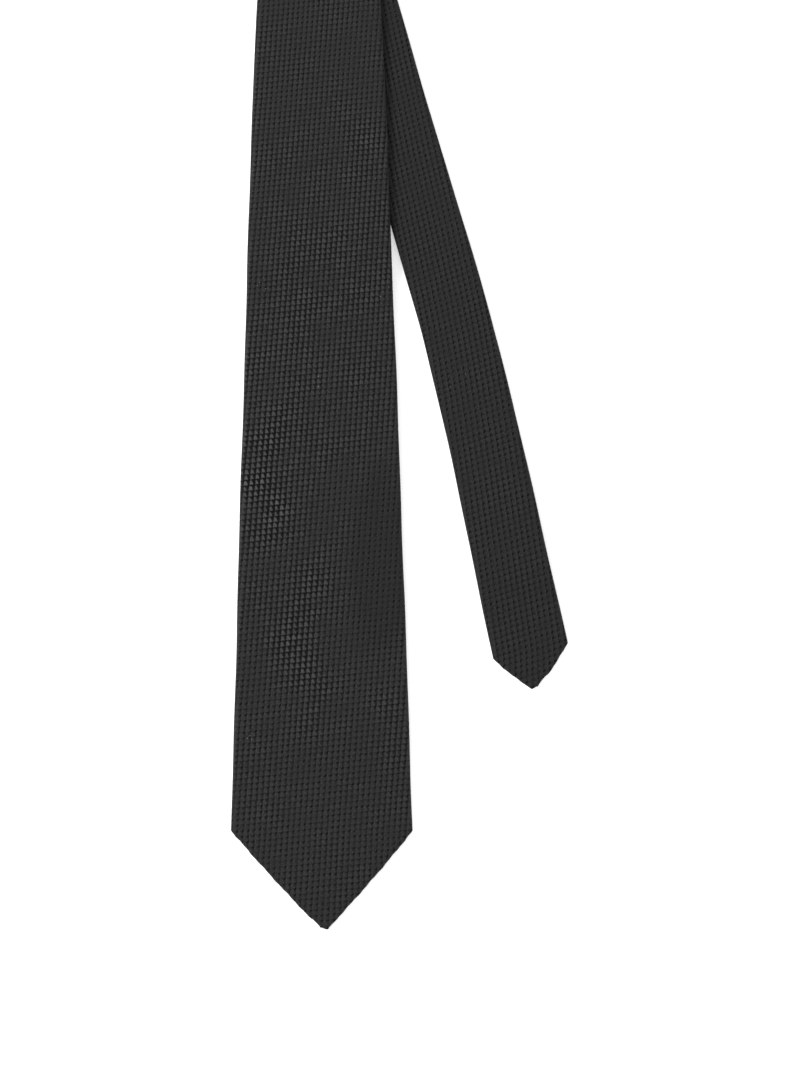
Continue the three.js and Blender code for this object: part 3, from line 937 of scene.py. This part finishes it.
def stitch_tree():
    """Lays a bead of thread along every edge of a mesh, each turned slightly at random."""
    if "stitch_row" in bpy.data.node_groups:
        return bpy.data.node_groups["stitch_row"]
    tree, w, given, out = new_group(
        "stitch_row", "GeometryNodeTree",
        [("Stitch lines", "Geometry"), ("Thread radius", "Float"), ("Unevenness", "Float"),
         ("Thread", "Material")], [("Stitches", "Geometry")])
    ends = w.node("GeometryNodeInputMeshEdgeVertices").outputs
    kept = w.node("GeometryNodeCaptureAttribute", domain="EDGE")
    kept.capture_items.new("VECTOR", "Reach")
    w.fill(kept, {"Geometry": given["Stitch lines"],
                  "Reach": w.vector("SUBTRACT", ends["Position 2"], ends["Position 1"])})
    reach, radius = kept.outputs["Reach"], given["Thread radius"]
    middles = w.node("GeometryNodeMeshToPoints", {"Mesh": kept.outputs["Geometry"]}, mode="EDGES")
    bead = w.node("GeometryNodeMeshUVSphere", {"Segments": 8, "Rings": 5, "Radius": 1.0})
    facing = w.node("FunctionNodeAlignRotationToVector", {"Vector": reach}, axis="Z")
    wander = w.node("FunctionNodeRandomValue", {2: -1.0, 3: 1.0, "Seed": 7}, data_type="FLOAT")
    lean = w.times(wander.outputs[1], given["Unevenness"])
    leaning = w.node("FunctionNodeRotateRotation",
                     {"Rotation": facing.outputs[0], "Rotate By": w.combine(lean, lean)},
                     rotation_space="LOCAL")
    half_length = w.times(w.vector("LENGTH", reach, output="Value"), 0.5)
    placed = w.node("GeometryNodeInstanceOnPoints",
                    {"Points": middles.outputs[0], "Instance": bead.outputs["Mesh"],
                     "Rotation": leaning.outputs[0],
                     "Scale": w.combine(radius, radius, half_length)})
    real = w.node("GeometryNodeRealizeInstances", [placed.outputs[0]])
    dyed = w.node("GeometryNodeSetMaterial",
                  {"Geometry": real.outputs[0], "Material": given["Thread"]})
    w.fill(out, [dyed.outputs[0]])
    return tree


def stitch_rows(name, stitches):
    """A piece made of stitches, each given by its two ends in metres."""
    mesh = bpy.data.meshes.new(name + "_lines")
    corners = [end for stitch in stitches for end in stitch]
    mesh.from_pydata(corners, [(2 * i, 2 * i + 1) for i in range(len(stitches))], [])
    holder = bpy.data.objects.new(name + "_lines", mesh)
    bpy.context.scene.collection.objects.link(holder)
    tree = stitch_tree()
    values = {"Thread radius": thread_settings().radius, "Unevenness": 0.05,
              "Thread": thread_material()}
    modifier = holder.modifiers.new("Stitches", "NODES")
    modifier.node_group = tree
    for item in tree.interface.items_tree:
        if item.item_type == "SOCKET" and item.in_out == "INPUT" and item.name in values:
            modifier[item.identifier] = values[item.name]
    depsgraph = bpy.context.evaluated_depsgraph_get()
    baked = bpy.data.meshes.new_from_object(holder.evaluated_get(depsgraph))
    baked.name = name
    holder.modifiers.remove(modifier)
    bpy.data.objects.remove(holder)
    if not baked.polygons:
        raise RuntimeError(f"{name} has no stitches")
    baked.shade_smooth()
    piece = bpy.data.objects.new(name, baked)
    bpy.context.scene.collection.objects.link(piece)
    return piece


SLIP_SLANT = 0.3                   # radians off the strip's own direction
HEM_SLANT = 0.6
SLIP_LEVEL = 0.14
HEM_LEVEL = 0.8
SEAM_LEVEL = THICK - 0.55


def stitches_along(start, end, pitch, length, slant, across, level):
    """Ends of stitches spaced along the strip, each slanted within the cloth's surface.

    across gives their distance from the centreline at any place along it. All sizes are in
    millimetres; slant is in radians from the strip's own direction."""
    along, aside = length / 2 * math.cos(slant), length / 2 * math.sin(slant)
    return [(on_frame(s - along, across(s - along) - aside, level),
             on_frame(s + along, across(s + along) + aside, level))
            for s in np.arange(start + pitch / 2, end, pitch)]


# ---- what a finished piece is ------------------------------------------------------------

def finish_piece(piece, nodes, move):
    """Hides the frame's nodes that a finished piece stands for, and applies its move."""
    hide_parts(*nodes)
    move(piece)


def sew(name, stitches, nodes, move):
    """Makes a piece of stitches that stands for some of the frame's nodes."""
    finish_piece(stitch_rows(name, stitches), nodes, move)


def declare_cut(start, end, width_at):
    """Works out the widths of a piece cut from flat cloth along the strip, and does nothing more
    with them.
    """
    places = np.linspace(start, end, 80)
    widths = np.array([width_at(s) for s in places])


def cut_width(s):
    """Width of the outer cloth, opened out flat."""
    settings = cloth_settings()
    path = fold_section(s, settings.cloth_thickness / MM, settings.edge_roll / MM)
    return np.ptp(cloth_place(path))


def inner_width(s):
    """Width of what lies inside the fold."""
    return 2 * inner_half_width(s)


# ---- operators ----------------------------------------------------------------------------

class NECKTIE_OT_outer_cloth(bpy.types.Operator):
    """Fold the blade, the neck band and the tail out of woven cloth"""

    bl_idname = "necktie.outer_cloth"
    bl_label = "Outer cloth"

    def execute(self, context):
        lengths = [
            ("blade", (0, BLADE_SEAM), (0, 1), (0, 0), ["tail_cloth"]),
            ("neck", (BLADE_SEAM, TAIL_SEAM), (1, 1), (0.37, 0.61), []),
            ("tail", (TAIL_SEAM, LENGTH), (1, 0), (0.15, 0.28), []),
        ]
        for part, (start, end), (skew_start, skew_end), shift, rests_on in lengths:
            piece = outer_cloth(f"{part}_cloth", start + SEAM_GAP * skew_start,
                                end - SEAM_GAP * skew_end, skew_start, skew_end, shift)
            finish_piece(piece, [f"{part}_shell"], MOVES[part])
            declare_cut(start, end, cut_width)
        return {"FINISHED"}


class NECKTIE_OT_interlining(bpy.types.Operator):
    """Cut the woollen interlining that lies inside the fold"""

    bl_idname = "necktie.interlining"
    bl_label = "Interlining"

    def execute(self, context):
        lengths = [
            ("blade", CORE_END, BLADE_SEAM - CORE_GAP),
            ("neck", BLADE_SEAM + CORE_GAP, TAIL_SEAM - CORE_GAP),
            ("tail", TAIL_SEAM + CORE_GAP, LENGTH - CORE_END),
        ]
        for part, start, end in lengths:
            core = inner_layer(f"{part}_core", start, end, core_level, CORE_THICK,
                               wool_material())
            finish_piece(core, [f"{part}_interlining"], MOVES[part])
            declare_cut(start, end, inner_width)
        return {"FINISHED"}


class NECKTIE_OT_tipping(bpy.types.Operator):
    """Line the back of both points with satin"""

    bl_idname = "necktie.tipping"
    bl_label = "Tipping"

    def execute(self, context):
        ends = [("blade", TIPPING_END, BLADE_CLOSE + 8),
                ("tail", LENGTH - TAIL_CLOSE - 6, LENGTH - TIPPING_END)]
        for part, start, end in ends:
            piece = inner_layer(f"{part}_tipping_satin", start, end, tipping_level,
                                TIPPING_THICK, lining_material(), columns=25, step=2.0)
            finish_piece(piece, [f"{part}_tipping"], ride_with(part))
            declare_cut(start, end, inner_width)
        return {"FINISHED"}


class NECKTIE_OT_slip_stitches(bpy.types.Operator):
    """Close the back with slip stitches"""

    bl_idname = "necktie.slip_stitches"
    bl_label = "Slip stitches"

    def execute(self, context):
        settings = thread_settings()
        lengths = [
            ("blade", BLADE_CLOSE + 18, BLADE_SEAM - 16),
            ("neck", BLADE_SEAM + 18, TAIL_SEAM - 18),
            ("tail", TAIL_SEAM + 18, LENGTH - TAIL_CLOSE - 18),
        ]
        for part, start, end in lengths:
            row = stitches_along(start, end, settings.slip_pitch / MM, settings.slip_length / MM,
                                 SLIP_SLANT, lambda s: flap_edges(s)[0] - 0.1, SLIP_LEVEL)
            sew(f"{part}_slip_stitching", row, [f"{part}_slip_stitch"], MOVES[part])
        return {"FINISHED"}


class NECKTIE_OT_hem_stitches(bpy.types.Operator):
    """Fell the tipping to the hems of both points"""

    bl_idname = "necktie.hem_stitches"
    bl_label = "Hem stitches"

    def execute(self, context):
        settings = thread_settings()
        ends = [("blade", 13, BLADE_CLOSE - 5), ("tail", LENGTH - TAIL_CLOSE + 4, LENGTH - 9)]
        for part, start, end in ends:
            rows = []
            for way in (-1, 1):
                rows += stitches_along(
                    start, end, settings.hem_pitch / MM, settings.hem_length / MM,
                    HEM_SLANT * way, lambda s, way=way: way * (abs(flap_edges(s)[0]) - 0.2),
                    HEM_LEVEL)
            sew(f"{part}_hem_stitching", rows,
                [f"{part}_hem_stitch_left", f"{part}_hem_stitch_right"], ride_with(part))
        return {"FINISHED"}


class NECKTIE_OT_seam_stitches(bpy.types.Operator):
    """Sew the two bias seams that join the three lengths"""

    bl_idname = "necktie.seam_stitches"
    bl_label = "Bias seam stitches"

    def execute(self, context):
        settings = thread_settings()
        for part, seam in (("blade", BLADE_SEAM), ("tail", TAIL_SEAM)):
            half_row, reach = half_width(seam) - 2.5, 0.6
            row = [(on_frame(seam + u - reach, u - reach, SEAM_LEVEL),
                    on_frame(seam + u + reach, u + reach, SEAM_LEVEL))
                   for u in np.arange(-half_row, half_row, settings.hem_pitch / MM * 0.6)]
            sew(f"{part}_seam_stitching", row, [f"{part}_seam_stitch"], MOVES[part])
        return {"FINISHED"}


class NECKTIE_OT_bar_tacks(bpy.types.Operator):
    """Work a bar tack at the head of each V"""

    bl_idname = "necktie.bar_tacks"
    bl_label = "Bar tacks"

    def execute(self, context):
        half_span, half_wrap = 4.2, 0.75
        laid_at, wrapped_at = -0.12, -0.26
        for part, at in (("blade", BLADE_CLOSE + 1), ("tail", LENGTH - TAIL_CLOSE - 1)):
            core = [(on_frame(s, -half_span, laid_at), on_frame(s, half_span, laid_at))
                    for s in (at - 0.24, at, at + 0.24)]
            wraps = [(on_frame(at - half_wrap, u - 0.1, wrapped_at),
                      on_frame(at + half_wrap, u + 0.1, wrapped_at))
                     for u in np.arange(-half_span + 0.2, half_span, 0.34)]
            sew(f"{part}_bar_tack_thread", core + wraps, [f"{part}_bar_tack"], ride_with(part))
        return {"FINISHED"}


def square_pattern(rows, columns):
    """Pattern places that run from 0 to 1 both across and along a piece."""
    along, across = np.meshgrid(np.linspace(0, 1, rows), np.linspace(0, 1, columns),
                                indexing="ij")
    return np.stack([across, along], axis=-1)


class NECKTIE_OT_woven_label(bpy.types.Operator):
    """Sew the blank woven label to the back of the blade"""

    bl_idname = "necktie.woven_label"
    bl_label = "Woven label"

    def execute(self, context):
        half_span, half_length = 24, 13
        level, stitch_level = -0.42, -0.62
        u = np.linspace(-half_span, half_span, 33)
        rows = np.linspace(LABEL_AT - half_length, LABEL_AT + half_length, 19)
        sag = [0.12 * np.sin(u / 7.0 + s / 5.0) * (1 - (u / half_span) ** 2) for s in rows]
        points = [lay(s, u, level + low) for s, low in zip(rows, sag)]
        label = thick_sheet("blank_label", np.array(points), 0.3 * MM,
                            square_pattern(len(rows), len(u)), label_material())
        finish_piece(label, ["woven_label"], ride_with("blade"))
        lines = []
        for at in (1.3 - half_span, half_span - 1.3):
            lines += stitches_along(rows[0] + 1, rows[-1] - 1, 2.1, 1.4, 0,
                                    lambda s, at=at: at, stitch_level)
        sew("label_stitching", lines, ["label_stitch_left", "label_stitch_right"],
            ride_with("blade"))
        return {"FINISHED"}


class NECKTIE_OT_care_tag(bpy.types.Operator):
    """Fold the blank care tag and catch it in the back seam"""

    bl_idname = "necktie.care_tag"
    bl_label = "Care tag"

    def execute(self, context):
        half_span, half_length, curl, level = 9, 15, 0.28, -0.32
        fold_at, far_end = CARE_AT - half_length, CARE_AT + half_length
        down = [(s, level) for s in np.linspace(far_end, fold_at, 16)]
        bend = [(fold_at - curl * math.sin(a), level - curl + curl * math.cos(a))
                for a in np.linspace(0, math.pi, 7)[1:-1]]
        back = [(s, level - 2 * curl - 0.1 * math.sin((s - CARE_AT) / 4.0))
                for s in np.linspace(fold_at, far_end - 2, 16)]
        path = down + bend + back
        u = np.linspace(-half_span, half_span, 11)
        points = np.array([lay(s, u, n) for s, n in path])
        tag = thick_sheet("blank_care_tag", points, 0.2 * MM,
                          square_pattern(len(path), len(u)), label_material())
        finish_piece(tag, ["care_tag"], ride_with("blade"))
        return {"FINISHED"}


class NECKTIE_OT_keeper(bpy.types.Operator):
    """Make the keeper band behind the blade, with a tack at each end"""

    bl_idname = "necktie.keeper"
    bl_label = "Keeper"

    def execute(self, context):
        half_span, half_band, foot, tack_level = 21, 6, 4, -0.92
        u = np.linspace(-half_span, half_span, 45)
        share = np.linspace(-1, 1, 15)
        drop = 0.75 * (1 - smooth(np.abs(u), half_span - foot - 4, half_span - foot + 1))
        points, pattern = [], []
        for s, edge in zip(KEEPER_AT + share * half_band, 0.22 * np.abs(share) ** 6):
            points.append(lay(s, u, -0.62 - drop + edge))
            pattern.append(np.stack([np.full_like(u, s / COLUMN_PITCH), u / ROW_PITCH], axis=-1))
        # The band's edges carry the painted edge highlight, and the whole band an even painted
        # sheen.
        band = thick_sheet("keeper_band", np.array(points), 0.5 * MM, np.array(pattern),
                           tie_cloth_material(),
                           {"fold": np.repeat(np.abs(share) ** 8, len(u)),
                            "sheen": np.full(len(share) * len(u), 0.3)})
        finish_piece(band, ["keeper_loop"], ride_with("blade"))
        rows = [(on_frame(s, side * (half_span - 2.4), tack_level),
                 on_frame(s, side * (half_span - 0.4), tack_level))
                for side in (-1, 1) for s in np.arange(KEEPER_AT - 4.6, KEEPER_AT + 4.7, 0.62)]
        sew("keeper_tacking", rows, ["keeper_tack_left", "keeper_tack_right"],
            ride_with("blade"))
        return {"FINISHED"}


def thread_tube(name, line, radius, sides=8):
    """A round thread along a line of points, closed at both ends."""
    line = np.array(line)
    along = np.gradient(line, axis=0)
    along /= np.linalg.norm(along, axis=1, keepdims=True)
    side = np.cross(along, (0.0, 0.0, 1.0))
    side /= np.linalg.norm(side, axis=1, keepdims=True)
    lift = np.cross(side, along)
    turn = (math.tau * np.arange(sides) / sides)[:, None]
    ring = np.cos(turn) * side[:, None] + np.sin(turn) * lift[:, None]
    points = (line[:, None] + radius * ring).reshape(-1, 3)
    faces = [[a + k, a + sides + k, a + sides + (k + 1) % sides, a + (k + 1) % sides]
             for a in range(0, len(points) - sides, sides) for k in range(sides)]
    faces.append(list(range(sides)))
    faces.append([len(points) - 1 - k for k in range(sides)])
    return link_mesh(name, points, faces, thread_material())


class NECKTIE_OT_spare_loop(bpy.types.Operator):
    """Leave the spare loop of slip-stitch thread under the blade's flaps"""

    bl_idname = "necktie.spare_loop"
    bl_label = "Spare thread loop"

    def execute(self, context):
        top, bottom, half_span = BLADE_CLOSE - 4, BLADE_CLOSE - 30, 2.6

        def half_loop(s):
            """Half the loop's width, narrower towards its caught ends."""
            return half_span * (0.45 + 0.55 * smooth(top - s, 0, 16))

        round_end = [(bottom + half_span - half_span * math.sin(a), half_span * math.cos(a))
                     for a in np.linspace(0, math.pi, 19)]
        leg = np.linspace(top, bottom + half_span, 12)[:-1]
        path = ([(s, half_loop(s)) for s in leg] + round_end
                + [(s, -half_loop(s)) for s in leg[::-1]])
        line = [on_frame(s, u, 0.72 + 0.1 * math.sin(s / 3.0)) for s, u in path]
        loop = thread_tube("spare_thread", line, thread_settings().radius)
        finish_piece(loop, ["spare_thread_loop"], ride_with("blade"))
        return {"FINISHED"}


WHITE = (1, 1, 1, 1)
FLOOR_COLOUR = (0.93, 0.93, 0.93, 1)
KEY_SIZE = 0.9
KEY_PLACE = (1.1, 0.5, 1.35)       # metres left of, behind and above the picture's centre


class NECKTIE_OT_stage(bpy.types.Operator):
    """Set the pale floor, the soft light and the camera"""

    bl_idname = "necktie.stage"
    bl_label = "Stage"

    def execute(self, context):
        settings = context.scene.necktie_stage
        reach = settings.floor_size / 2
        corners = [(-reach, -reach, 0), (reach, -reach, 0), (reach, reach, 0),
                   (-reach, reach, 0)]
        material, w, shader = new_material("pale_floor")
        w.fill(shader, {"Base Color": FLOOR_COLOUR, "Emission Color": WHITE,
                        "Emission Strength": settings.floor_glow, "Roughness": 0.95,
                        "Specular IOR Level": 0.0})
        floor = link_mesh("floor", corners, [[0, 1, 2, 3]], material, flat=True)

        world = bpy.data.worlds.new("white_room")
        world.use_nodes = True
        Wiring(world.node_tree).fill(world.node_tree.nodes["Background"],
                                     {"Color": WHITE, "Strength": settings.world_strength})
        context.scene.world = world

        centre_x = TIP_X * MM + settings.view_x
        centre_y = TIP_Y * MM + settings.view_y
        key = bpy.data.lights.new("key", "AREA")
        key.shape = "DISK"
        key.size = KEY_SIZE
        key.energy = settings.key_power
        lamp = bpy.data.objects.new("key", key)
        left, back, up = KEY_PLACE
        lamp.location = (centre_x - left, centre_y + back, up)
        from_above = math.atan2(math.hypot(left, back), up)
        lamp.rotation_euler = (from_above, 0, math.atan2(-back, left) - math.pi / 2)
        context.scene.collection.objects.link(lamp)

        lens = bpy.data.cameras.new("camera")
        lens.lens = lens.sensor_width * settings.camera_height / settings.view_height
        lens.clip_end = 100
        camera = bpy.data.objects.new("camera", lens)
        camera.location = (centre_x, centre_y, settings.camera_height)
        context.scene.collection.objects.link(camera)
        context.scene.camera = camera
        context.scene.view_settings.view_transform = "Standard"
        return {"FINISHED"}


# ---- panel and registration -------------------------------------------------------------------

BUILD_ORDER = (
    NECKTIE_OT_outer_cloth, NECKTIE_OT_interlining, NECKTIE_OT_tipping,
    NECKTIE_OT_slip_stitches, NECKTIE_OT_hem_stitches, NECKTIE_OT_seam_stitches,
    NECKTIE_OT_bar_tacks, NECKTIE_OT_woven_label, NECKTIE_OT_care_tag, NECKTIE_OT_keeper,
    NECKTIE_OT_spare_loop, NECKTIE_OT_stage,
)


class NECKTIE_PT_sidebar(bpy.types.Panel):
    """Lists the steps of making the tie"""

    bl_idname = "NECKTIE_PT_sidebar"
    bl_label = "Draped Necktie"
    bl_space_type = "VIEW_3D"
    bl_region_type = "UI"
    bl_category = "Necktie"

    def draw(self, context):
        for group in (context.scene.necktie_cloth, context.scene.necktie_thread,
                      context.scene.necktie_stage):
            box = self.layout.box()
            for name in group.bl_rna.properties.keys():
                if name not in ("rna_type", "name"):
                    box.prop(group, name)
        for step in BUILD_ORDER:
            self.layout.operator(step.bl_idname)


GROUPS = {
    "necktie_cloth": NECKTIE_PG_cloth,
    "necktie_thread": NECKTIE_PG_thread,
    "necktie_stage": NECKTIE_PG_stage,
}
CLASSES = (*GROUPS.values(), *BUILD_ORDER, NECKTIE_PT_sidebar)


def register():
    for made in CLASSES:
        bpy.utils.register_class(made)
    for name, group in GROUPS.items():
        setattr(bpy.types.Scene, name, bpy.props.PointerProperty(type=group))


def unregister():
    for name in GROUPS:
        delattr(bpy.types.Scene, name)
    for made in reversed(CLASSES):
        bpy.utils.unregister_class(made)


def main():
    register()
    for step in BUILD_ORDER:
        area, name = step.bl_idname.split(".")
        getattr(getattr(bpy.ops, area), name)()


if __name__ == "__main__":
    main()
